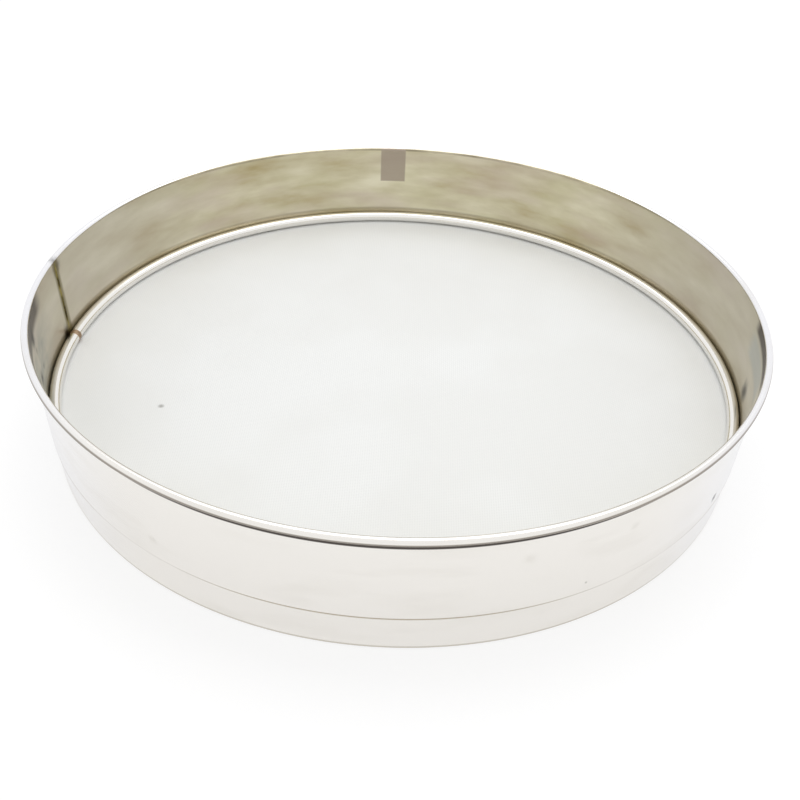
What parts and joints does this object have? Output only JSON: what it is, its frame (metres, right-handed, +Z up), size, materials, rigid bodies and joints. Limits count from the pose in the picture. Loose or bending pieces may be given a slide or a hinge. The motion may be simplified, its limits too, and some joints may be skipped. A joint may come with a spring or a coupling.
{
  "type": "test sieve",
  "caption": "Round laboratory test sieve: a stainless ring with a rolled rim and a nesting skirt, holding a taut disc of fine woven wire cloth under a round rod hoop.",
  "frame": {"origin": "on the sieve's axis, in the plane of the skirt's foot", "axes": "+Z up along the sieve's axis, from the foot to the rim; -X points to the welded seam, within 5 degrees"},
  "size_m": [0.4084, 0.4084, 0.0748],
  "materials": {
    "frame_steel": "bright rolled stainless strip, softly reflective, with a warm cast inside and faint smudges",
    "weld_metal": "dull weld bead with straw and brown heat tint",
    "wire_cloth_steel": "fine plain-woven stainless wire cloth, pale and satin",
    "hoop_steel": "bright drawn stainless rod",
    "braze_metal": "brownish braze filler, dull"
  },
  "bodies": {
    "root": {"frame_ring": "frame_steel", "frame_seam_weld": "weld_metal", "wire_cloth": "wire_cloth_steel", "retaining_hoop": "hoop_steel", "hoop_joint_braze": "braze_metal"}
  },
  "joints": []
}
